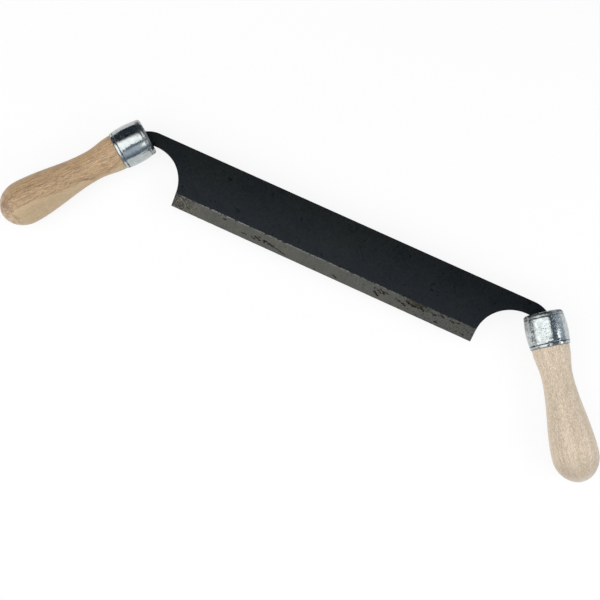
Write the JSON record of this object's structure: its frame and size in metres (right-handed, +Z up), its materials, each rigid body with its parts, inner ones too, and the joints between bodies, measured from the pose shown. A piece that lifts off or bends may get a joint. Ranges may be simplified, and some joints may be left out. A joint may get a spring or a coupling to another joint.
{
  "type": "bark knife",
  "caption": "Straight draw-type bark knife: black forged blade with a ground bevel, notched ends and bent tangs, zinc-coated ferrules and splayed turned beech handles.",
  "frame": {"origin": "under the middle of the tool's bounding box, on the surface that its handles lie on", "axes": "+X along the cutting edge, +Y from the edge to the spine, +Z up out of the bevelled side"},
  "size_m": [0.4926, 0.1132, 0.0342],
  "materials": {
    "blade_steel": "black forge scale under clear lacquer, with a bare ground bevel along the edge",
    "ferrule_zinc": "bright zinc coat on pressed steel, lightly dented",
    "tan_beech": "turned beech, tan, waxed",
    "pale_beech": "turned beech, pale, waxed"
  },
  "bodies": {
    "root": {"blade": "blade_steel", "left_ferrule": "ferrule_zinc", "right_ferrule": "ferrule_zinc", "left_handle": "tan_beech", "right_handle": "pale_beech"}
  },
  "joints": []
}
